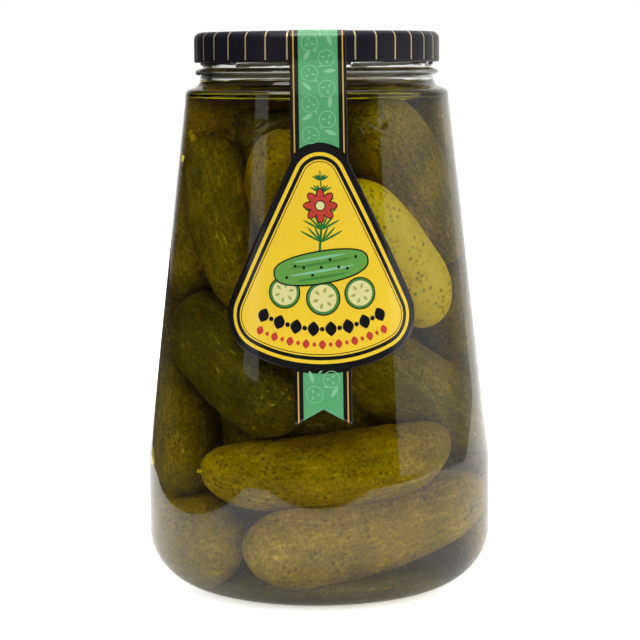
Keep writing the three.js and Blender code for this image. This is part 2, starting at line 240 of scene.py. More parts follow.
class Finish:
    """One value in a node tree: arithmetic on it adds Math nodes, and node() adds any other node."""

    def __init__(self, tree, socket=None):
        self.tree = tree
        self.socket = socket

    def node(self, kind, settings=None, sockets=None, output=0):
        made = self.tree.nodes.new(kind)
        for key, value in (settings or {}).items():
            if key == "stops":
                while len(made.color_ramp.elements) < len(value):
                    made.color_ramp.elements.new(0.5)
                for element, (place, colour) in zip(made.color_ramp.elements, value):
                    element.position, element.color = place, colour
            else:
                setattr(made, key, value)
        for key, value in (sockets or {}).items():
            named = [s for s in made.inputs if key in (s.identifier, s.name)]
            target = made.inputs[key] if isinstance(key, int) else named[0]
            if isinstance(value, Finish):
                self.tree.links.new(value.socket, target)
            else:
                target.default_value = value
        return Finish(self.tree, made.outputs[output])

    def math(self, operation, *others):
        """This value and any others through one Math node."""
        return self.node("ShaderNodeMath", {"operation": operation}, dict(enumerate((self, *others))))

    def __add__(self, other):
        return self.math("ADD", other)

    def __sub__(self, other):
        return self.math("SUBTRACT", other)

    def __rsub__(self, other):
        return self.node("ShaderNodeMath", {"operation": "SUBTRACT"}, {0: other, 1: self})

    def __mul__(self, other):
        return self.math("MULTIPLY", other)

    __radd__ = __add__

    def __abs__(self):
        return self.math("ABSOLUTE")

    def place(self):
        """Where a point lies in its object, in metres."""
        return self.node("ShaderNodeTexCoord", output="Object")

    def attribute(self, name, output="Fac"):
        """What the mesh keeps for each point under a name."""
        return self.node("ShaderNodeAttribute", {"attribute_name": name}, output=output)

    def parts(self):
        """The x, y and z of a vector."""
        split = self.node("ShaderNodeSeparateXYZ", None, {"Vector": self}).socket.node
        return [Finish(self.tree, part) for part in split.outputs]

    def over(self, low):
        """1 where the value is above low, else 0."""
        return self.math("GREATER_THAN", low)

    def between(self, low, high):
        """1 where the value lies from low to high, else 0."""
        return self.over(low) * self.math("LESS_THAN", high)

    def ramp(self, low, high):
        """0 below low, 1 above high, smooth between; falls instead where low is above high."""
        sockets = {"Value": self, "From Min": low, "From Max": high}
        return self.node("ShaderNodeMapRange", {"interpolation_type": "SMOOTHSTEP"}, sockets)

    def mix(self, first, second):
        """A colour: the first where this value is 0, the second where it is 1."""
        sockets = {"Factor_Float": self, "A_Color": first, "B_Color": second}
        return self.node("ShaderNodeMix", {"data_type": "RGBA"}, sockets, 2)

    def noise(self, vector, scale, detail=2, rough=0.5):
        """Smooth noise from 0 to 1 at a place; the scale counts its waves in a metre."""
        sockets = {"Vector": vector, "Scale": scale, "Detail": detail, "Roughness": rough}
        return self.node("ShaderNodeTexNoise", None, sockets)

    def bump(self, height, distance, strength):
        """A normal bent by a height from 0 to 1 that stands for a distance in metres."""
        sockets = {"Height": height, "Distance": distance, "Strength": strength}
        return self.node("ShaderNodeBump", None, sockets)


def srgb(red, green, blue):
    """A linear colour from 0 to 255 display values."""
    share = np.array([red, green, blue]) / 255
    linear = np.where(share <= 0.04045, share / 12.92, ((share + 0.055) / 1.055) ** 2.4)
    return (*linear.tolist(), 1)


def new_finish(name, **constants):
    """A material with one Principled shader whose unchanging values are set on its own sockets."""
    material = bpy.data.materials.new(name)
    material.use_nodes = True
    shader = material.node_tree.nodes["Principled BSDF"]
    for key, value in constants.items():
        shader.inputs[key.replace("_", " ")].default_value = value
    return material, Finish(material.node_tree)


def dress(material, **varying):
    """Links values that vary over the surface to the material's shader, and returns the material."""
    shader = material.node_tree.nodes["Principled BSDF"]
    for key, value in varying.items():
        material.node_tree.links.new(value.socket, shader.inputs[key.replace("_", " ")])
    return material


def jar_glass_finish(name, index):
    """Clear flint glass: faintly wavy from the mould, with a trace of smudging in its polish. The index is
    that of the glass, or against the brine where the brine wets it."""
    material, finish = new_finish(name, Transmission_Weight=1, IOR=index)
    place = finish.place()
    tint = finish.noise(place, 9).mix((0.955, 0.975, 0.955, 1), (0.985, 0.99, 0.98, 1))
    smudge = finish.noise(place, 60, 4).ramp(0.55, 0.8) * 0.025
    wave = finish.noise(place, 22, 1)
    return dress(material, Base_Color=tint, Roughness=smudge, Normal=finish.bump(wave, 0.0004, 0.35))


shoulder_middle = (CONE_TOP_RADIUS - SHOULDER_ARC, SHOULDER_TOP - SHOULDER_ARC)
heel_middle = (FOOT_RADIUS, HEEL_HEIGHT)
outside = chain(
    line((0, FOOT_PUSH_UP), PUSH_UP_TURN, 6),
    line(PUSH_UP_TURN, (FOOT_INNER_RADIUS, 0), 2),
    arc(heel_middle, (JAR_RADIUS - FOOT_RADIUS, HEEL_HEIGHT), -90, 0, 22),
    line((JAR_RADIUS, HEEL_HEIGHT), (JAR_RADIUS, CONE_FOOT - 2 * CONE_EASE), 6),
    line((JAR_RADIUS, CONE_FOOT - CONE_EASE), on_cone(CONE_FOOT + CONE_EASE), 3),
    line(on_cone(CONE_FOOT + 2 * CONE_EASE), on_cone(SCROLL_ROWS[0]), 6),
    line(on_cone(SCROLL_ROWS[0]), on_cone(SCROLL_ROWS[1]), 0.5),
    arc(shoulder_middle, (SHOULDER_ARC, SHOULDER_ARC), 6, 62, 8),
    arc((NECK_RADIUS + NECK_FILLET, NECK_FOOT), (NECK_FILLET, NECK_FILLET), 242, 180, 8),
    arc((FINISH_RADIUS, BEAD_MIDDLE), (BEAD_RADIUS - FINISH_RADIUS, BEAD_HALF_HEIGHT), -72, 90, 14),
    line((FINISH_RADIUS, BEAD_MIDDLE + BEAD_HALF_HEIGHT), (FINISH_RADIUS, THREAD_TOP), 0.3),
    line((FINISH_RADIUS, THREAD_TOP), (FINISH_RADIUS, RIM_TOP - LIP), 3),
    arc((FINISH_RADIUS - LIP, RIM_TOP - LIP), (LIP, LIP), 0, 90, 5),
)
shoulder_inside = CONE_TOP_RADIUS - WALL


def inner_shoulder(into_wall, start):
    """The inside of the shoulder in the (radius, height) plane, from the neck down to the body: a hollow
    arc about the neck's fillet, then a rounded corner, both drawn so far into the wall."""
    neck = (NECK_RADIUS + NECK_FILLET, NECK_FOOT)
    reach = (neck[0] - MOUTH_RADIUS - into_wall, INNER_FILLET - into_wall)
    corner = (shoulder_inside - INNER_CORNER, CONE_TOP - WALL + INNER_CORNER)
    turn = (INNER_CORNER + into_wall, INNER_CORNER + into_wall)
    return chain(arc(neck, reach, start, 240, 10), arc(corner, turn, 75, 0, 8))


wall_radius = JAR_RADIUS - WALL
inside = chain(
    arc((MOUTH_RADIUS + LIP, RIM_TOP - LIP), (LIP, LIP), 90, 180, 5),
    line((MOUTH_RADIUS, RIM_TOP - LIP), (MOUTH_RADIUS, NECK_FOOT + LIP), 4),
    inner_shoulder(0, 180),
    line((shoulder_inside, CONE_TOP - WALL), (wall_radius, CONE_FOOT), 6),
    line((wall_radius, CONE_FOOT), (wall_radius, HEEL_HEIGHT), 6),
    arc(heel_middle, (wall_radius - FOOT_RADIUS, HEEL_HEIGHT - BOTTOM), 0, -90, 20),
    line((FOOT_RADIUS, BOTTOM), (0, INNER_FLOOR), 6),
)
jar_profile = chain(outside, inside)
flint_glass = jar_glass_finish("flint_glass", GLASS_INDEX)
jar, jar_rows = turned_piece("glass_jar", jar_profile, JAR_COLUMNS, flint_glass, jar_relief)
wet_rows = (np.arange(jar_rows - 1) >= len(outside)) & (jar_profile[1:-2, 1] < BRINE_LEVEL + MENISCUS)
second_finish(jar, jar_glass_finish("wet_glass", GLASS_INDEX / BRINE_INDEX), wet_rows, JAR_COLUMNS)
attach(jar, "root")
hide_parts("jar_glass")


# Gherkins
# Whole pickled gherkins packed by hand: blunt, slightly bowed, bumpy, olive to yellow, some with a stub
# of stalk. Each row gives the middles of a gherkin's two end caps, its girth, how freely it shifts as
# the heap settles, how far its middle sags, and how ripe and yellow its skin is; that last value also holds
# painted light, raised for gherkins that catch more light and lowered for those in shade.
GHERKINS = [
    ((-15, -50, 25.5), (50, -13, 39), 33, 0.03, 1.5, 0.45),
    ((-41, -31, 26), (-41, 31, 33), 34, 0.05, 0, 0.42),
    ((-31, -43, 53.5), (39, -36, 60), 30.5, 0.03, 5, 0.44),
    ((-49, -15, 57), (-43, 17, 103), 33, 0.06, 0, 0.2),
    ((-22, -42, 85), (-40, -16, 108), 39, 0.05, 0, -0.16),
    ((-28, -31, 135), (-40, -9, 177), 32, 0.03, 0, 0.12),
    ((-46, -5, 138), (-45, 4, 167), 28, 0.06, 0, 0.35),
    ((-4, 4, 132), (-14, -31, 178), 33, 0.02, 0, 0.5),
    ((41, 3, 149), (24, -21, 193), 36, 0.05, 0, 0.22),
    ((37.5, -22, 131), (12, -38, 161), 34, 0.03, 0, 1.2),
    ((46, 4, 107), (33, 28, 130), 33, 0.1, 0, 0.2),
    ((46, 8, 66), (20, -39, 96), 35, 0.03, 0, 0.12),
    ((8, 30, 142), (9, 10, 193), 33, 1, 0, 0.2),
    ((28, 31, 158), (36, 11, 195), 30, 1, 0, 0.3),
    ((-34, 18, 194), (13, 34, 194), 36, 1, 0, 0.5),
    ((-38, 24, 131), (-20, 33, 170), 32, 0.15, 0, 0.2),
    ((-10, -7, 26), (-9, 49, 26), 34, 0.5, 0, 0.2),
    ((18, 3, 26), (15, 43, 26), 34, 1, 0, 0.3),
    ((46, 23, 26), (26, 43, 66), 33, 1, 0, 0.4),
    ((-33, 39, 60), (-20, 40, 109), 35, 0.3, 0, 0.2),
    ((36, 38, 58), (22, 46, 92), 32, 1, 0, 0.4),
    ((-18, -8, 57), (-13, 9, 106), 34, 1, 0, -0.1),
    ((-6, 51, 58), (12, 43, 112), 34, 1, 0, 0.5),
    ((13, 13, 57), (16, -2, 108), 33, 1, 0, -0.1),
]
TAPERED_ROW, LOW_END_TAPER = 5, 0.4
HEAP_TOP = 212.5
CAP_SHARE = 0.86
SQUEEZE = 0.9
PUSH_SHARE = 0.5
WALL_CLEARANCE = 1.5
CAP_LOW_SIDE, CAP_LOW_SIDE_IN = 0.7, 0.3
SETTLE_ROUNDS = 240
TINY = 1e-6
BLUNT, BLUNT_ROOT = 3.2, 2.3
END_DIFFERENCE = 0.05
SECTION_DEPTH, LONG_SWELL, SHORT_SWELL = 0.018, 0.014, 0.012
BOW, BOW_LEVEL = 0.045, 0.4
WARTS = 34
WART_SIZES, WART_HEIGHTS = (1.3, 2.4), (0.15, 0.55)
GHERKIN_RINGS = 72
GHERKIN_SIDES = 52
SKINS_APART = 370
# Each row: the gherkin, its high end (1) or low end (-1), how many rings from there, and the stub's size.
STALKS = [(5, 1, 3, 1), (2, -1, 0, 0.42), (11, -1, 0, 0.6), (19, 1, 0, 0.8)]
STALK = [(0, -2), (2.4, -1.6), (1.9, 0), (1.5, 1.6), (1.5, 3.4), (1.9, 4.6), (1.2, 5), (0, 4.9)]
STALK_SIDES, STALK_RIPENESS = 14, 0.9
STALK_ASIDE = (0.3, 0.9, 0.2)
CORE = [(0, 9.3), (47, 9.8), (49, 12.5), (42, 16), (31, 20), (38, 56), (27, 186), (27, 200), (0, 203)]
CORE_COLUMNS = 48


def closest_shares(low, high, one, other):
    """For each pair of straight middle lines, how far along each one its point nearest the other lies."""
    along, across, gap = high[one] - low[one], high[other] - low[other], low[one] - low[other]
    along_square, across_square = (along ** 2).sum(1), (across ** 2).sum(1)
    product, along_gap, across_gap = (along * across).sum(1), (along * gap).sum(1), (across * gap).sum(1)
    crossing = along_square * across_square - product * product
    nearest = (product * across_gap - along_gap * across_square) / np.maximum(crossing, TINY)
    share = np.clip(np.where(crossing > TINY, nearest, 0), 0, 1)
    other_share = (product * share + across_gap) / across_square
    at_low = np.clip(-along_gap / along_square, 0, 1)
    at_high = np.clip((product - along_gap) / along_square, 0, 1)
    share = np.where(other_share < 0, at_low, np.where(other_share > 1, at_high, share))
    return share, np.clip(other_share, 0, 1)


def settled(low, high, girth, freedom, taper):
    """The heap at rest: overlapping gherkins push each other apart, each one end more than the other by
    where they touch, and the glass pushes their ends back, over and over."""
    half_girth = girth / 2
    radius = half_girth * SQUEEZE * (1 - taper / 2)
    span = np.linalg.norm(high - low, axis=1)[:, None]
    one, other = np.triu_indices(len(low), 1)
    whole = freedom[one] + freedom[other]
    for _ in range(SETTLE_ROUNDS):
        one_share, other_share = closest_shares(low, high, one, other)
        away = low[one] + one_share[:, None] * (high - low)[one]
        away = away - low[other] - other_share[:, None] * (high - low)[other]
        distance = np.maximum(np.linalg.norm(away, axis=1), TINY)
        overlap = np.maximum(radius[one] + radius[other] - distance, 0)
        push = overlap * PUSH_SHARE / distance / whole
        for index, share, sign in ((one, one_share, 1), (other, other_share, -1)):
            step = away * (push * sign * freedom[index] / ((1 - share) ** 2 + share ** 2))[:, None]
            np.add.at(low, index, step * (1 - share)[:, None])
            np.add.at(high, index, step * share[:, None])
        middle, half = (low + high) / 2, high - low
        half *= span / 2 / np.linalg.norm(half, axis=1)[:, None]
        low, high = middle - half, middle + half
        for tip in (low, high):
            lowest = INNER_FLOOR + half_girth + WALL_CLEARANCE
            tip[:, 2] = np.clip(tip[:, 2], lowest, HEAP_TOP - half_girth)
            beside, below = inner_radius(tip[:, 2]), inner_radius(tip[:, 2] - radius * CAP_LOW_SIDE)
            most = np.minimum(beside, below + radius * CAP_LOW_SIDE_IN) - half_girth - WALL_CLEARANCE
            out = np.maximum(np.hypot(tip[:, 0], tip[:, 1]), TINY)
            tip[:, :2] *= np.minimum(1, most / out)[:, None]
    return low, high


def gherkin_skin(low, high, girth, sag, taper, random):
    """A gherkin as rings on a bowed middle line: the radius is a blunt superellipse along its length,
    narrowed towards the low end by the taper, times a soft three-sided section and slow swells, plus small
    round warts. Returns the points in place, and the same points along, across and out of the gherkin."""
    share = -np.cos(np.linspace(0, np.pi, GHERKIN_RINGS + 2)[1:-1])[:, None]
    turn = np.linspace(0, 2 * np.pi, GHERKIN_SIDES, endpoint=False)[None, :]
    half_length = np.linalg.norm(high - low) / 2 + CAP_SHARE * girth / 2
    phase = random.uniform(0, 2 * np.pi, 6)
    blunt = (1 - np.abs(share) ** BLUNT) ** (1 / BLUNT_ROOT)
    blunt = blunt * (1 + random.uniform(-END_DIFFERENCE, END_DIFFERENCE) * share)
    blunt = blunt * (1 - taper * (1 - share) / 2)
    section = 1 + SECTION_DEPTH * np.cos(3 * turn + phase[0] + 0.5 * share)
    swell = LONG_SWELL * np.sin(5 * share + phase[1] + np.cos(turn + phase[2]))
    swell = swell + SHORT_SWELL * np.sin(9 * share + 2 * np.sin(turn + phase[3]) + phase[4])
    wart_share = random.uniform(-0.9, 0.9, WARTS)
    wart_turn = random.uniform(0, 2 * np.pi, WARTS)
    wart_size = random.uniform(*WART_SIZES, WARTS)
    wart_height = random.uniform(*WART_HEIGHTS, WARTS)
    lengthwise = (share[..., None] - wart_share) * half_length
    sideways = (np.mod(turn[..., None] - wart_turn + np.pi, 2 * np.pi) - np.pi) * girth / 2
    warts = wart_height * np.exp(-(lengthwise ** 2 + sideways ** 2) / wart_size ** 2 / 2)
    radius = girth / 2 * blunt * (section + swell) + warts.sum(-1)
    rings = np.broadcast_arrays(share * half_length, radius * np.sin(turn), radius * np.cos(turn))
    poles = np.array([[-half_length, 0, 0], [half_length, 0, 0]])
    own = np.concatenate([np.stack(rings, -1).reshape(-1, 3), poles])
    along = (high - low) / np.linalg.norm(high - low)
    middle = (low + high) / 2
    outward = np.array([middle[0], middle[1], 0])
    outward -= along * (outward @ along)
    outward /= np.linalg.norm(outward)
    aside = np.cross(along, outward)
    down = np.array([0, 0, -1]) + along * along[2]
    curve = BOW_LEVEL - (own[:, :1] / half_length) ** 2
    placed = middle + own[:, :1] * along + own[:, 1:2] * aside + own[:, 2:] * outward
    placed = placed + curve * (BOW * half_length * outward + sag * down)
    return placed, own


def gherkin_finish():
    """Pickled skin: dark olive through olive to gold by ripeness, which also holds painted light, a more
    lit gherkin made lighter and a shaded one darker; blotched, streaked along the fruit and finely grained,
    with darker spots and short pale dashes, finely pimpled and wet."""
    material, finish = new_finish("gherkin_skin", IOR=1.25)
    own = finish.attribute("own", "Vector")
    ripe = finish.attribute("ripeness")
    lengthwise = {0: own, 1: (0.18, 1, 1)}
    long_way = finish.node("ShaderNodeVectorMath", {"operation": "MULTIPLY"}, lengthwise)
    blotch = finish.noise(own, 60, 3)
    streak = finish.noise(long_way, 380, 4, 0.65)
    grain = finish.noise(own, 800, 3, 0.7)
    # Painted light: the ripeness value also brightens gherkins that catch more light and darkens shaded
    # ones.
    tone = 0.22 + ripe * 0.62 + (blotch - 0.5) * 0.5 + (streak - 0.5) * 0.5 + (grain - 0.5) * 0.9
    stops = [(0, srgb(66, 62, 5)), (0.3, srgb(116, 105, 9)), (0.62, srgb(182, 153, 16))]
    stops += [(0.85, srgb(250, 214, 40)), (1, srgb(255, 230, 90))]
    skin = finish.node("ShaderNodeValToRGB", {"stops": stops}, {"Fac": tone})
    cell = finish.node("ShaderNodeTexVoronoi", None, {"Vector": own, "Scale": 380})
    spot = cell.ramp(0.46, 0.1) * finish.noise(own, 90, 2).ramp(0.4, 0.62)
    skin = (spot * 0.75).mix(skin, srgb(88, 72, 7))
    dash = finish.noise(long_way, 700, 2).ramp(0.6, 0.72)
    dash = dash * finish.noise(own, 60, 1).ramp(0.42, 0.62)
    skin = (dash * 0.5).mix(skin, srgb(240, 205, 60))
    pimple = finish.noise(own, 360, 2) * 0.6 + grain * 0.2 + streak * 0.2
    bumpy = finish.bump(pimple, 0.0008, 0.6)
    return dress(material, Base_Color=skin, Roughness=0.28 + blotch * 0.25, Normal=bumpy)


def keep(piece, name, values, kind="FLOAT", key="value"):
    """Stores values for the points of a piece under a name, for its material to read."""
    layer = piece.data.attributes.new(name, kind, "POINT")
    layer.data.foreach_set(key, np.asarray(values, np.float32).ravel())


def stalk_stub(tip, direction, size):
    """A stub of stalk: a small turned stick with a flared cut end, standing on a gherkin's tip."""
    points, _ = turned_points(np.array(STALK, float), STALK_SIDES)
    side = np.cross(direction, STALK_ASIDE)
    side /= np.linalg.norm(side)
    return tip + size * points @ np.stack([side, np.cross(direction, side), direction])


ends_low, ends_high, girths, freedoms, sags, ripeness = (np.array(row, float) for row in zip(*GHERKINS))
tapers = np.where(np.arange(len(GHERKINS)) == TAPERED_ROW, LOW_END_TAPER, 0)
lows, highs = settled(ends_low, ends_high, girths, freedoms, tapers)
random = np.random.default_rng(7)
bodies = []
for low, high, girth, sag, ripe, taper in zip(lows, highs, girths, sags, ripeness, tapers):
    placed, own = gherkin_skin(low, high, girth, sag, taper, random)
    bodies.append((placed, own + SKINS_APART * len(bodies), GHERKIN_SIDES, ripe))
for index, end, ring, size in STALKS:
    placed = bodies[index][0][:-2].reshape(GHERKIN_RINGS, GHERKIN_SIDES, 3)[::-end][ring]
    root = highs[index] if end > 0 else lows[index]
    foot = placed[np.argmin(placed[:, 0])] if ring else placed.mean(0)
    stub = stalk_stub(foot, (foot - root) / np.linalg.norm(foot - root), size)
    bodies.append((stub, stub, STALK_SIDES, STALK_RIPENESS))
# Partly painted shade: a core in the darkest skin stands in for the inner gherkins, so that the gaps
# between the packed gherkins read as shade.
core_points, _ = turned_points(np.array(CORE), CORE_COLUMNS)
bodies.append((core_points, core_points, CORE_COLUMNS, 0))
starts = np.cumsum([0] + [len(body[0]) for body in bodies])
heap_faces = []
for (placed, _, sides, _), start in zip(bodies, starts):
    heap_faces += turned_faces(len(placed) // sides, sides, start)
heap_points, heap_own = (np.concatenate(column) for column in list(zip(*bodies))[:2])
gherkins = make_piece("gherkins", heap_points, heap_faces, gherkin_finish())
keep(gherkins, "own", heap_own * MM, "FLOAT_VECTOR", "vector")
keep(gherkins, "ripeness", np.repeat([body[3] for body in bodies], np.diff(starts)))
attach(gherkins, "root")
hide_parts("pickles")


# Brine
# Vinegar and salt water, clear yellow-green and deeper in colour the further one looks into it. It fills
# the jar to the neck, reaches just into the glass all round, and climbs the wall a little at its top.
INTO_WALL = 0.9
BRINE_COLOUR = (0.9755, 0.9625, 0, 1)
BRINE_DENSITY = 120
MENISCUS_REACH = 2
SURFACE_RINGS = 24
BRINE_COLUMNS = 160


def brine_finish(name, index):
    """A clear liquid that takes out blue and some red with depth. The index is 1 inside the glass wall,
    which bends the light there itself, and that of brine at its free surface."""
    material, finish = new_finish(name, Transmission_Weight=1, IOR=index, Roughness=0)
    tint = finish.noise(finish.place(), 14).mix((0.98, 0.97, 0.86, 1), (1, 0.99, 0.92, 1))
    absorbed = {"Color": BRINE_COLOUR, "Density": BRINE_DENSITY}
    depth = finish.node("ShaderNodeVolumeAbsorption", None, absorbed)
    output = material.node_tree.nodes["Material Output"]
    material.node_tree.links.new(depth.socket, output.inputs["Volume"])
    return dress(material, Base_Color=tint)


heights = np.linspace(HEEL_HEIGHT, CONE_TOP - WALL, 40)
under_neck = (NECK_FOOT - BRINE_LEVEL - MENISCUS) / (INNER_FILLET - INTO_WALL)
shoulder_run = inner_shoulder(INTO_WALL, 180 + math.degrees(math.asin(under_neck)))
heel_reach = (wall_radius - FOOT_RADIUS + INTO_WALL, HEEL_HEIGHT - BOTTOM + INTO_WALL)
surface_radius = shoulder_run[0, 0] * np.linspace(1, 0, SURFACE_RINGS)[:, None]
climb = MENISCUS * np.exp(-(shoulder_run[0, 0] - surface_radius) / MENISCUS_REACH)
brine_profile = chain(
    line((0, INNER_FLOOR - INTO_WALL), (FOOT_RADIUS, BOTTOM - INTO_WALL), 8),
    arc(heel_middle, heel_reach, -90, 0, 20),
    np.stack([inner_radius(heights) + INTO_WALL, heights], 1),
    shoulder_run[::-1],
    np.concatenate([surface_radius, BRINE_LEVEL + climb], 1),
)
clear_brine = brine_finish("clear_brine", 1)
brine, brine_rows = turned_piece("brine", brine_profile, BRINE_COLUMNS, clear_brine)
free_rows = np.arange(brine_rows - 1) > brine_rows - SURFACE_RINGS
second_finish(brine, brine_finish("brine_surface", BRINE_INDEX), free_rows, BRINE_COLUMNS)
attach(brine, "root")


# Lid
# A twist-off lid pressed from tinplate: rolled lower edge, plain skirt, rounded shoulder and a sunk
# panel. It is enamelled blue-black and printed with thin gold stripes that run up and over the shoulder.
LID_RADIUS = 51.65
LID_BOTTOM = 223
LID_TOP = 235.7
LID_SHEET = 0.8
LID_SHOULDER = 3.2
LID_CURL = 1.7
LID_PANEL_RADIUS = 39
LID_PANEL_DROP = 0.9
LID_PANEL_STEP = 2.5
PANEL_EASE, PANEL_EASE_DROP = 0.6, 0.15
STRIPES = 35
STRIPE_WIDTH, STRIPE_EDGE = 0.65, 0.06
STRIPE_FIRST_ANGLE = -13.3
STRIPE_END = 44.5
STRIPE_FOOT = (0.9, 1.2)
GOLD_RING = 0.5
LID_COLUMNS = 256


def lid_finish():
    """Satin blue-black enamel with gold stripes ruled by the angle round the lid and a gold ring where
    they end, and a cream lacquer inside."""
    material, finish = new_finish("striped_enamel", IOR=1.5, Specular_IOR_Level=0.2)
    place = finish.place()
    x, y, z = place.parts()
    radius = (x * x + y * y).math("SQRT") * (1 / MM)
    turn = x.math("ARCTAN2", y * -1) * (STRIPES / (2 * math.pi))
    phase = (turn - STRIPE_FIRST_ANGLE * STRIPES / 360 + 0.5).math("FLOORED_MODULO", 1)
    off = abs(phase - 0.5) * radius * (2 * math.pi / STRIPES)
    ruled = off.ramp(STRIPE_WIDTH / 2 + STRIPE_EDGE, STRIPE_WIDTH / 2 - STRIPE_EDGE)
    ruled = ruled * radius.ramp(STRIPE_END - 0.1, STRIPE_END)
    ruled = ruled * z.ramp((LID_BOTTOM + STRIPE_FOOT[0]) * MM, (LID_BOTTOM + STRIPE_FOOT[1]) * MM)
    gold = ruled.math("MAXIMUM", radius.between(STRIPE_END - GOLD_RING, STRIPE_END))
    cloud = finish.noise(place, 120, 3)
    enamel = cloud.mix(srgb(20, 18, 27), srgb(30, 27, 38))
    metal = cloud.mix(srgb(190, 170, 120), srgb(220, 202, 154))
    lined = finish.attribute("lined")
    liner = cloud.mix(srgb(234, 229, 216), srgb(243, 239, 228))
    colour = lined.mix(gold.mix(enamel, metal), liner)
    peel = finish.bump(finish.noise(place, 900, 1), 0.00004, 0.5)
    shine = gold * (1 - lined) * 0.5
    return dress(material, Base_Color=colour, Metallic=shine, Roughness=0.36 + cloud * 0.1, Normal=peel)


panel_top = LID_TOP - LID_PANEL_DROP
panel_edge = LID_PANEL_RADIUS + LID_PANEL_STEP
skirt_inside, under_top = LID_RADIUS - LID_SHEET, LID_TOP - LID_SHEET
curl_top, curl_half = LID_BOTTOM + LID_CURL, LID_CURL / 2
rim_flat, shoulder_foot = LID_RADIUS - LID_SHOULDER, LID_TOP - LID_SHOULDER
round_under = (LID_SHOULDER - LID_SHEET, LID_SHOULDER - LID_SHEET)
round_over = (LID_SHOULDER, LID_SHOULDER)
panel_wall = line((panel_edge - PANEL_EASE, LID_TOP - PANEL_EASE_DROP),
                  (LID_PANEL_RADIUS + PANEL_EASE, panel_top + PANEL_EASE_DROP), 0.5)
lid_inside = chain(
    line((0, panel_top - LID_SHEET), (LID_PANEL_RADIUS + LID_SHEET, panel_top - LID_SHEET), 8),
    line((panel_edge + LID_SHEET, under_top), (rim_flat, under_top), 2),
    arc((rim_flat, shoulder_foot), round_under, 90, 0, 8),
    line((skirt_inside, shoulder_foot), (skirt_inside, curl_top), 2),
)
lid_outside = chain(
    arc((LID_RADIUS - curl_half, LID_BOTTOM + curl_half), (curl_half, curl_half), -180, 0, 14),
    line((LID_RADIUS, curl_top), (LID_RADIUS, shoulder_foot), 2),
    arc((rim_flat, shoulder_foot), round_over, 0, 90, 14),
    line((rim_flat, LID_TOP), (panel_edge, LID_TOP), 1.5),
    panel_wall,
    line((LID_PANEL_RADIUS, panel_top), (0, panel_top), 4),
)
lid_profile = chain(lid_inside, lid_outside)
lid, lid_rows = turned_piece("twist_off_lid", lid_profile, LID_COLUMNS, lid_finish())
lined_rows = np.repeat(np.arange(lid_rows) < len(lid_inside) - 1, LID_COLUMNS)
keep(lid, "lined", np.concatenate([lined_rows, [1, 0]]))
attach(lid, "root")
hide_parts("lid")


# Label
# One die-cut piece of coated paper: a green strip with black and gold edges glued over the lid as a seal,
# a bordered yellow triangle with round corners on the glass, and the strip's swallow tail below it.
PAPER = 0.16
PAPER_GAP = 0.06
STRIP_HALF_WIDTH = 11.5
STRIP_LID_END = 30
TAIL_TIP = 78.8
TAIL_NOTCH = 6.4
APEX_ARC = 13.4
APEX_TOP = 190
CORNER_ARC = 16
CORNER_OUT, CORNER_HEIGHT = 24.1, 121.8
BASE_ARC = 73
BASE_LOW = 100.4
LABEL_SHIFT = 0.4
LABEL_LEAN = 0.0105
LABEL_COLUMNS = 48
LABEL_SPACING = 0.7
SHOULDER_LIFT = 0.3
FOOT_STRETCH, FOOT_CROWDING = 14, 1.6
TAIL_ROWS, FOOT_ROWS, UPPER_ROWS = 18, 60, 190
OUTLINE_POINTS = 700
PAPER_SHEEN = {"IOR": 1.45, "Specular_IOR_Level": 0.2}
GREEN, YELLOW, INK, GOLD = srgb(92, 172, 114), srgb(252, 212, 54), srgb(13, 11, 12), srgb(214, 174, 84)
GREEN_HALF_WIDTH = 7.95
GOLD_LINE = (9.65, 10.2)
BORDER_OVER_STRIP = 1.05
BORDER_RINGS = [(2.75, YELLOW), (4.2, INK), (5.7, YELLOW), (6.3, INK), (6.62, YELLOW)]


def triangle_half_width(height):
    """Half width of the rounded triangle: apex arc, straight sides, corner arcs and a bulging foot."""
    apex_middle, base_centre = APEX_TOP - APEX_ARC, BASE_LOW + BASE_ARC
    rise = apex_middle - CORNER_HEIGHT
    slant = math.atan2(CORNER_OUT, rise) + math.asin((CORNER_ARC - APEX_ARC) / math.hypot(CORNER_OUT, rise))
    side_top = apex_middle + APEX_ARC * math.sin(slant)
    side_foot = CORNER_HEIGHT + CORNER_ARC * math.sin(slant)
    base_turn = CORNER_HEIGHT - CORNER_ARC * (base_centre - CORNER_HEIGHT) / (BASE_ARC - CORNER_ARC)
    apex = np.sqrt(np.maximum(APEX_ARC ** 2 - (height - apex_middle) ** 2, 0))
    side = APEX_ARC * math.cos(slant) + (side_top - height) * math.tan(slant)
    corner = CORNER_OUT + np.sqrt(np.maximum(CORNER_ARC ** 2 - (height - CORNER_HEIGHT) ** 2, 0))
    base = np.sqrt(np.maximum(BASE_ARC ** 2 - (base_centre - height) ** 2, 0))
    above = [height >= side_top, height >= side_foot, height >= base_turn]
    return np.select(above, [apex, side, corner], base)


shoulder_edge = (CONE_TOP_RADIUS, SHOULDER_TOP - SHOULDER_ARC + SHOULDER_LIFT)
label_path = chain(
    line(on_cone(TAIL_TIP), on_cone(CONE_TOP), 2),
    line(shoulder_edge, (LID_RADIUS, LID_BOTTOM + curl_half), LABEL_SPACING),
    line((LID_RADIUS, curl_top), (LID_RADIUS, shoulder_foot), LABEL_SPACING),
    arc((rim_flat, shoulder_foot), round_over, 0, 90, 12),
    line((rim_flat, LID_TOP), (panel_edge, LID_TOP), LABEL_SPACING),
    panel_wall,
    line((LID_PANEL_RADIUS, panel_top), (STRIP_LID_END, panel_top), LABEL_SPACING),
)
path_step = np.diff(label_path, axis=0)
path_length = np.concatenate([[0], np.cumsum(np.linalg.norm(path_step, axis=1))])
path_normal = np.gradient(label_path, path_length, axis=0)[:, ::-1] * (1, -1)
path_normal /= np.linalg.norm(path_normal, axis=1)[:, None]
path_tracks = np.concatenate([label_path, path_normal], 1).T
LENGTH_PER_RISE = math.hypot(1, (cone_radius(TAIL_TIP) - cone_radius(CONE_TOP)) / (CONE_TOP - TAIL_TIP))


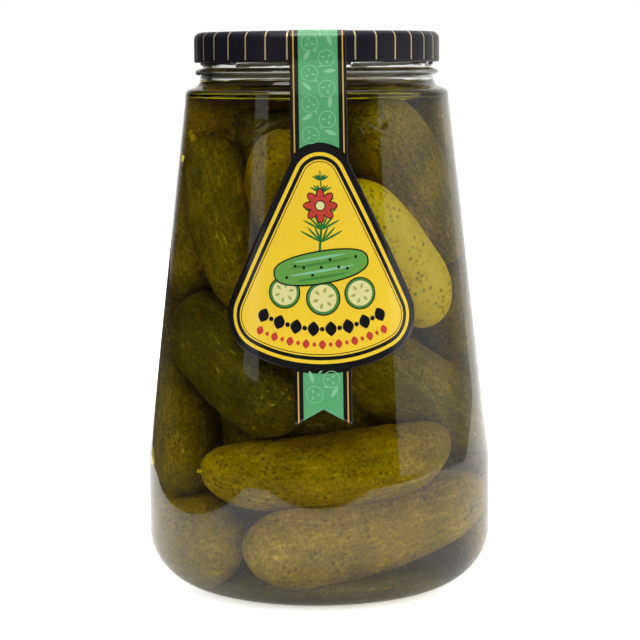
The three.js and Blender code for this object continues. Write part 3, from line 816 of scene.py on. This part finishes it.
def on_label(across, along, lift):
    """A point of the flat label, across it and along it from the tail tips, laid on glass and lid and
    lifted off them: it turns round the axis by its arc length, and runs straight on over the lid's top."""
    radius, height, out, up = (np.interp(along, path_length, track) for track in path_tracks)
    radius, height = radius + lift * out, height + lift * up
    round_radius = np.where(height > curl_top, np.maximum(radius, LID_RADIUS + lift), radius)
    angle = (across + LABEL_SHIFT + (LID_TOP - height) * LABEL_LEAN) / round_radius
    y = round_radius - radius - round_radius * np.cos(angle)
    return np.stack(np.broadcast_arrays(round_radius * np.sin(angle), y, height), -1)


def triangle_depth(across, height):
    """How far a point of the flat label lies inside the triangle's outline, less than 0 outside it."""
    levels = BASE_LOW + (APEX_TOP - BASE_LOW) * (0.5 - 0.5 * np.cos(np.linspace(0, np.pi, OUTLINE_POINTS)))
    widths = triangle_half_width(levels)
    apart = np.stack([np.abs(across).ravel()[:, None] - widths, height.ravel()[:, None] - levels], -1)
    nearest = np.sqrt((apart ** 2).sum(-1).min(1)).reshape(across.shape)
    within = (np.abs(across) < triangle_half_width(height)) & (height > BASE_LOW) & (height < APEX_TOP)
    return np.where(within, nearest, -nearest)


def grey(value):
    """A linear grey."""
    return (value, value, value, 1)


def paper_finish():
    """Coated label paper in flat inks: strip edges ruled across it, borders ruled along its outline."""
    coat = {"Coat_Weight": 0.8, "Coat_Roughness": 0.12}
    material, finish = new_finish("printed_paper", **PAPER_SHEEN, **coat)
    place = finish.place()
    across = abs(finish.attribute("across"))
    depth = finish.attribute("depth")
    strip = across.over(GREEN_HALF_WIDTH).mix(GREEN, INK)
    strip = across.between(*GOLD_LINE).mix(strip, GOLD)
    triangle = INK
    for start, colour in BORDER_RINGS:
        triangle = depth.over(start).mix(triangle, colour)
    print_colour = depth.over(-BORDER_OVER_STRIP).mix(strip, triangle)
    fibre = finish.noise(place, 1500, 3)
    mottle = finish.noise(place, 110, 2)
    shade = (fibre * 0.5 + mottle * 0.5).ramp(0.2, 0.8) * 0.07
    colour = shade.mix(print_colour, grey(0))
    tooth = finish.bump(fibre, 0.00002, 0.5)
    return dress(material, Base_Color=colour, Roughness=0.42 + mottle * 0.12, Normal=tooth)


base_along = (BASE_LOW - TAIL_TIP) * LENGTH_PER_RISE
row_along = np.concatenate([
    np.linspace(0, base_along, TAIL_ROWS)[:-1],
    base_along + FOOT_STRETCH * np.linspace(0, 1, FOOT_ROWS)[:-1] ** FOOT_CROWDING,
    np.linspace(base_along + FOOT_STRETCH, path_length[-1], UPPER_ROWS),
])[:, None]
row_height = np.interp(row_along, path_length, label_path[:, 1])
column = np.linspace(-1, 1, LABEL_COLUMNS + 1)[None, :]
on_glass = row_along < (APEX_TOP - TAIL_TIP) * LENGTH_PER_RISE
triangle_width = np.where(on_glass & (row_height > BASE_LOW), triangle_half_width(row_height), 0)
label_across = np.maximum(STRIP_HALF_WIDTH, triangle_width) * column
tail_cut = TAIL_NOTCH * (1 - np.abs(column)) * np.clip(1 - row_along / base_along, 0, 1)
label_along = row_along + tail_cut
label_height = TAIL_TIP + label_along / LENGTH_PER_RISE
label_points = on_label(label_across, label_along, PAPER_GAP)
label_faces = grid_faces(*label_across.shape, False).tolist()
label = make_piece("paper_label", label_points, label_faces, paper_finish())
keep(label, "across", label_across)
keep(label, "depth", triangle_depth(label_across, label_height))
thickness = label.modifiers.new("paper", "SOLIDIFY")
thickness.thickness = PAPER * MM
thickness.offset = 1
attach(label, "root")
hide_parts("label")


# Label print
# The picture on the label, in flat inks over the paper: a dill head with a red rosette, a gherkin over
# three slices, a chain of black lozenges, a row of red diamonds, and pale slices and leaves on the strip.
PRINT_LAYER = 0.025
DILL, LEAF, RIND = srgb(44, 116, 52), srgb(104, 164, 74), srgb(72, 138, 60)
FLESH, SEED, RED = srgb(232, 226, 158), srgb(170, 178, 84), srgb(199, 66, 52)
PALE = srgb(136, 200, 154)
SHAPE_POINTS, SHAPE_END = 21, 0.04
OUTLINE = 0.4
DILL_FOOT, DILL_TOP, DILL_POINTS = 147, 180, 20
DILL_BEND, DILL_BEND_TURN = 1.2, 2.6
DILL_STEM_HALF_WIDTHS = (0.55, 0.2)
FROND_LEVELS, FROND_LOW, FROND_SPACING = 6, 151.5, 4.9
FROND_REACH, FROND_REACH_LOSS, FROND_HALF_WIDTH = 9.6, 1.2, 0.42
FROND_FAN = [(62, 1), (43, 0.86), (24, 0.72)]
ROSETTE, ROSETTE_EYE = (0, 166), 1.7
PETALS, PETAL_OUT, PETAL_SIZE = 8, 3.6, (3, 1.4)
SLICES = [((-15, 131.5), 6), ((15.6, 131), 6), ((0.6, 129.2), 6.4)]
SLICE_RINGS = [(1.08, INK), (1, RIND), (0.84, FLESH)]
SEEDS, SEED_START, SEED_OUT, SEED_SIZE = 6, 0.3, 0.5, (0.2, 0.09)
GHERKIN_MIDDLE, GHERKIN_TILT, GHERKIN_SIZE = (0, 141.5), 0.16, (19, 6.1)
GHERKIN_OUTLINE, GHERKIN_BLUNT, GHERKIN_COLUMNS = 0.6, 0.36, 13
STREAKS = [(-3.9, RIND), (-1.4, PALE), (1.6, RIND), (3.7, PALE)]
STREAK_HALF_LENGTH, STREAK_HALF_WIDTH = 14.5, 0.55
DOTS, DOT_SPREAD, DOT_RADIUS = 9, 14, 0.6
DOT_WAVE, DOT_WAVE_TURN = 2.6, 2.3
LOZENGE_DEPTH, LOZENGE_SIZE, LINK_RADIUS = 16.6, (3, 2.3), 0.95
LOZENGE_TURNS = np.radians(np.linspace(-115, -65, 15))
DIAMOND_DEPTH, DIAMOND_SIZES, DIAMOND_SLIMNESS = 10.4, (1.9, 1), 0.75
DIAMOND_TURNS = np.radians(np.linspace(-114, -66, 17))
CIRCLE = np.linspace(0, 2 * np.pi, 33)
STRIP_HEIGHTS = [91, 97, *np.arange(194, 254, 6.2)]
STRIP_SLICE_ASIDE, STRIP_SLICE_RADIUS, STRIP_SLICE_LINE = 3.4, 3.3, 0.16
STRIP_SEEDS, STRIP_SEED_OUT, STRIP_SEED_SIZE = 3, 1.5, (0.8, 0.3)
STRIP_LEAF_PLACE, STRIP_LEAF_SIZE, STRIP_LEAF_TURN = (-4.6, 1), (2.6, 0.9), 0.9
STRIP_DASH_PLACE, STRIP_DASH_SIZE, STRIP_DASH_TURN = (-1, 3), (0.9, 0.3), 0.6
strokes = []


def around(middle, radius, turn):
    """The point of the flat label at a distance and an angle from a middle."""
    return middle[0] + radius * np.cos(turn), middle[1] + radius * np.sin(turn)


def print_stroke(path, half_width, colour, layer, columns=5):
    """A stroke of ink: columns of points from side to side of a path on the flat label."""
    step = np.gradient(path, axis=0)
    step /= np.linalg.norm(step, axis=1)[:, None]
    side = np.stack([step[:, 1], -step[:, 0]], 1)
    share = np.linspace(-1, 1, columns)
    flat = path[:, None, :] + share[None, :, None] * np.reshape(half_width, (-1, 1, 1)) * side[:, None, :]
    lift = PAPER_GAP + PAPER + PRINT_LAYER * layer
    points = on_label(flat[..., 0], (flat[..., 1] - TAIL_TIP) * LENGTH_PER_RISE, lift)
    strokes.append((points.reshape(-1, 3), grid_faces(len(path), columns, False), colour))


def print_leaf(middle, half_length, half_width, angle, colour, layer, blunt=0.5, columns=5):
    """A long shape that narrows to both ends: its half width is a power of 1 - t2 along its length."""
    share = -np.cos(np.linspace(SHAPE_END, np.pi - SHAPE_END, SHAPE_POINTS))
    direction = np.array([math.cos(angle), math.sin(angle)])
    path = np.array(middle) + share[:, None] * half_length * direction
    print_stroke(path, half_width * (1 - share ** 2) ** blunt, colour, layer, columns)


def print_outlined(middle, size, angle, colour, layer, outline, *form):
    """A long shape in one ink over a black one that shows all round it as an outline."""
    print_leaf(middle, size[0] + outline, size[1] + outline, angle, INK, layer, *form)
    print_leaf(middle, *size, angle, colour, layer + 1, *form)


def print_slice(middle, radius):
    """A round of gherkin: black outline, green rind, pale flesh and a wreath of seeds."""
    for layer, (share, colour) in enumerate(SLICE_RINGS, 1):
        print_leaf(middle, radius * share, radius * share, 0, colour, layer, columns=9)
    for turn in np.arange(SEEDS) * 2 * math.pi / SEEDS + SEED_START:
        seed = around(middle, SEED_OUT * radius, turn)
        print_leaf(seed, radius * SEED_SIZE[0], radius * SEED_SIZE[1], turn, SEED, 4, 1)


stem_height = np.linspace(DILL_FOOT, DILL_TOP, DILL_POINTS)
stem_across = DILL_BEND * (np.sin(np.linspace(0, DILL_BEND_TURN, DILL_POINTS)) - 0.5)
stem_half_width = np.linspace(*DILL_STEM_HALF_WIDTHS, DILL_POINTS)
print_stroke(np.stack([stem_across, stem_height], 1), stem_half_width, DILL, 1, 2)
for level in range(FROND_LEVELS):
    root = (0.3, FROND_LOW + FROND_SPACING * level)
    for hand in (-1, 1):
        for lean, share in FROND_FAN:
            angle = math.pi / 2 - hand * math.radians(lean)
            length = (FROND_REACH - FROND_REACH_LOSS * level) * share / 2
            print_leaf(around(root, length, angle), length, FROND_HALF_WIDTH, angle, DILL, 1, 0.6, 3)
for turn in np.arange(PETALS) * 2 * math.pi / PETALS:
    print_outlined(around(ROSETTE, PETAL_OUT, turn), PETAL_SIZE, turn, RED, 2, OUTLINE)
print_outlined(ROSETTE, (ROSETTE_EYE, ROSETTE_EYE), 0, FLESH, 4, OUTLINE)

for middle, radius in SLICES:
    print_slice(middle, radius)
gherkin_form = (GHERKIN_OUTLINE, GHERKIN_BLUNT, GHERKIN_COLUMNS)
print_outlined(GHERKIN_MIDDLE, GHERKIN_SIZE, GHERKIN_TILT, LEAF, 5, *gherkin_form)
for offset, shade in STREAKS:
    middle = around(GHERKIN_MIDDLE, offset, GHERKIN_TILT + math.pi / 2)
    print_leaf(middle, STREAK_HALF_LENGTH - abs(offset), STREAK_HALF_WIDTH, GHERKIN_TILT, shade, 7)
for place in np.linspace(-DOT_SPREAD, DOT_SPREAD, DOTS):
    rise = GHERKIN_TILT * place + DOT_WAVE * math.sin(DOT_WAVE_TURN * place)
    middle = (GHERKIN_MIDDLE[0] + place, GHERKIN_MIDDLE[1] + rise)
    print_leaf(middle, DOT_RADIUS, DOT_RADIUS, 0, INK, 8)

base_middle = (0, BASE_LOW + BASE_ARC)
for index, turn in enumerate(LOZENGE_TURNS):
    middle = around(base_middle, BASE_ARC - LOZENGE_DEPTH, turn)
    if index % 2:
        print_leaf(middle, LINK_RADIUS, LINK_RADIUS, 0, INK, 1)
    else:
        print_leaf(middle, *LOZENGE_SIZE, turn, INK, 1, 1)
for index, turn in enumerate(DIAMOND_TURNS):
    middle = around(base_middle, BASE_ARC - DIAMOND_DEPTH, turn)
    size = DIAMOND_SIZES[index % 2]
    print_leaf(middle, size, size * DIAMOND_SLIMNESS, turn, RED, 1, 1)

for index, height in enumerate(STRIP_HEIGHTS):
    hand = 1 if index % 2 else -1
    middle = (STRIP_SLICE_ASIDE * hand, height)
    print_stroke(np.stack(around(middle, STRIP_SLICE_RADIUS, CIRCLE), 1), STRIP_SLICE_LINE, PALE, 1, 2)
    for turn in np.arange(STRIP_SEEDS) * 2 * math.pi / STRIP_SEEDS + index:
        print_leaf(around(middle, STRIP_SEED_OUT, turn), *STRIP_SEED_SIZE, turn, PALE, 1)
    leaf = (STRIP_LEAF_PLACE[0] * hand, height + STRIP_LEAF_PLACE[1])
    print_leaf(leaf, *STRIP_LEAF_SIZE, 1 + STRIP_LEAF_TURN * index, PALE, 1, 1)
    dash = (STRIP_DASH_PLACE[0] * hand, height + STRIP_DASH_PLACE[1])
    print_leaf(dash, *STRIP_DASH_SIZE, STRIP_DASH_TURN * index, PALE, 1)


def ink_finish():
    """Flat printing ink with the paper's slight mottling and sheen."""
    material, finish = new_finish("printing_ink", **PAPER_SHEEN)
    mottle = finish.noise(finish.place(), 400, 3)
    ink = (mottle * 0.1).mix(finish.attribute("ink", "Color"), grey(0))
    return dress(material, Base_Color=ink, Roughness=0.4 + mottle * 0.15)


stroke_points, stroke_faces, stroke_inks = zip(*strokes)
counts = [len(points) for points in stroke_points]
starts = np.cumsum([0] + counts)
print_faces = np.concatenate([faces + start for faces, start in zip(stroke_faces, starts)]).tolist()
label_print = make_piece("label_print", np.concatenate(stroke_points), print_faces, ink_finish())
keep(label_print, "ink", np.repeat(stroke_inks, counts, axis=0), "FLOAT_COLOR", "color")
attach(label_print, "root")


# Studio
# A white table before a white sweep, a large lit panel to the right, soft lights overhead and above, a
# narrow strip light to the left, and a dark room behind the camera with black felt on its floor.
CAMERA_DISTANCE = 1
CAMERA_HEIGHT = 0.222
CAMERA_TILT = math.radians(6.19)
CAMERA_ASIDE = 0.00077
CAMERA_ROLL = math.radians(-0.33)
FOCAL_PIXELS = 2354
IMAGE_PIXELS = 640
SENSOR = 36
FLOOR_HALF = 2500
FELT_HEIGHT = 2
FELT_FRONT, FELT_LEFT = -300, -250
PANEL_OUT = 780
PANEL_FRONT, PANEL_BACK = -590, 760
PANEL_LOW, PANEL_TOP = 20, 820


def floor_finish():
    """A white light table, very faintly mottled, with painted shade: its colour and glow are dimmer close
    to the jar and dark under it, where the jar's shadow falls, and it glows more for the camera than for
    what falls on the jar."""
    material, finish = new_finish("white_table", Roughness=0.9, Emission_Strength=0.62)
    place = finish.place()
    away = finish.node("ShaderNodeVectorMath", {"operation": "LENGTH"}, {0: place}, "Value")
    # Painted contact shade: the table's colour is darkened close to the jar.
    near = away.ramp(0.07, 0.12) * 0.25 + 0.75
    white = near.mix(grey(0), finish.noise(place, 3).mix(grey(0.86), grey(0.9)))
    seen = finish.node("ShaderNodeLightPath", output="Is Camera Ray")
    # Painted shade in what the jar mirrors: the glow that other rays see is dimmer near the jar.
    lit = seen.math("MAXIMUM", near * (away.ramp(0.3, 0.7) * 0.4 + 0.42))
    # Painted shade: the glow is dark under the jar and rises away from it.
    glow = (away.ramp(0.03, 0.065) * lit).mix(grey(0), grey(1.7))
    return dress(material, Base_Color=white, Emission_Color=glow)


def felt_finish():
    """Black felt, laid round the near and left ends of the table so that the jar mirrors a dark room."""
    material, finish = new_finish("black_felt", Roughness=1)
    nap = finish.noise(finish.place(), 40)
    return dress(material, Base_Color=nap.mix((0.05, 0.05, 0.048, 1), (0.07, 0.07, 0.066, 1)))


def panel_finish():
    """A lit diffuser, bright beside the jar and dimmer towards its far end."""
    material, finish = new_finish("lit_diffuser", Roughness=1, Emission_Strength=1)
    place = finish.place()
    _, y, _ = place.parts()
    bright = 0.95 - y.ramp(-0.05, 0.3) * 0.5 + y.ramp(0.35, 0.72) * 0.2
    cloth = finish.noise(place, 4).mix(grey(0), grey(0.02))
    return dress(material, Base_Color=cloth, Emission_Color=bright.mix(grey(0), grey(1)))


def staged(name, points, faces, material, seen):
    """A thing of the studio; what the camera doesn't see throws no shadow either."""
    thing = make_piece(name, points, faces, material)
    thing.visible_camera = seen
    thing.visible_shadow = seen


def soft_light(name, place, target, size, radiance):
    """A rectangular area light of a given brightness, aimed from its place at a target."""
    lamp = bpy.data.lights.new(name, "AREA")
    lamp.shape = "RECTANGLE"
    lamp.size, lamp.size_y = size
    lamp.energy = radiance * math.pi * size[0] * size[1]
    light = bpy.data.objects.new(name, lamp)
    light.location = place
    aim = np.array(target) - np.array(place)
    flat = math.hypot(aim[0], aim[1])
    light.rotation_euler = (math.atan2(flat, -aim[2]), 0, math.atan2(-aim[0], aim[1]))
    bpy.context.scene.collection.objects.link(light)


floor_x = np.array([-1, 1, 1, -1]) * FLOOR_HALF
floor_y = np.array([-1, -1, 1, 1]) * FLOOR_HALF
staged("table", np.stack([floor_x, floor_y, np.zeros(4)], 1), [[0, 1, 2, 3]], floor_finish(), True)
felt_x = [-FLOOR_HALF, FLOOR_HALF, FLOOR_HALF, -FLOOR_HALF, FELT_LEFT, FELT_LEFT, -FLOOR_HALF]
felt_y = [-FLOOR_HALF, -FLOOR_HALF, FELT_FRONT, FELT_FRONT, FELT_FRONT, FLOOR_HALF, FLOOR_HALF]
felt_points = np.stack([felt_x, felt_y, np.full(7, FELT_HEIGHT)], 1)
staged("black_flag", felt_points, [[0, 1, 2, 4, 3], [3, 4, 5, 6]], felt_finish(), False)
panel_y = [PANEL_FRONT, PANEL_FRONT, PANEL_BACK, PANEL_BACK]
panel_z = [PANEL_LOW, PANEL_TOP, PANEL_TOP, PANEL_LOW]
panel_points = np.stack([np.full(4, PANEL_OUT), panel_y, panel_z], 1)
staged("soft_box", panel_points, [[0, 1, 2, 3]], panel_finish(), False)

soft_light("overhead", (-0.15, -0.7, 1.22), (0, 0, 0.12), (1.2, 0.8), 5.1)
soft_light("ceiling", (0, 0.2, 1.25), (0, 0, 0.2), (1.1, 1), 1.6)
soft_light("strip", (-0.66, -0.61, 0.34), (0, 0, 0.2), (0.19, 0.36), 0.9)

world = bpy.data.worlds.new("studio")
bpy.context.scene.world = world
world.use_nodes = True
sky = Finish(world.node_tree)
x, y, z = sky.node("ShaderNodeTexCoord", output="Generated").parts()
behind = (x * 0.5 + y * 0.87).ramp(0.4, 0.95)
above = z.ramp(0.35, 0.7)
seen = sky.node("ShaderNodeLightPath", output="Is Camera Ray")
lit = seen.math("MAXIMUM", behind + above * 0.25 + 0.015)
backdrop = world.node_tree.nodes["Background"]
backdrop.inputs["Color"].default_value = grey(1)
world.node_tree.links.new(lit.socket, backdrop.inputs["Strength"])

lens = bpy.data.cameras.new("camera")
lens.sensor_width = SENSOR
lens.lens = FOCAL_PIXELS / IMAGE_PIXELS * SENSOR
camera = bpy.data.objects.new("camera", lens)
camera.rotation_mode = "ZXY"
camera.location = (CAMERA_ASIDE, -CAMERA_DISTANCE, CAMERA_HEIGHT)
camera.rotation_euler = (math.pi / 2 - CAMERA_TILT, 0, CAMERA_ROLL)
bpy.context.scene.collection.objects.link(camera)
scene = bpy.context.scene
scene.camera = camera
scene.view_settings.view_transform = "Standard"
scene.cycles.use_denoising = True
scene.cycles.max_bounces = 20
scene.cycles.transmission_bounces = 20
scene.cycles.caustics_reflective = False
scene.cycles.sample_clamp_indirect = 6
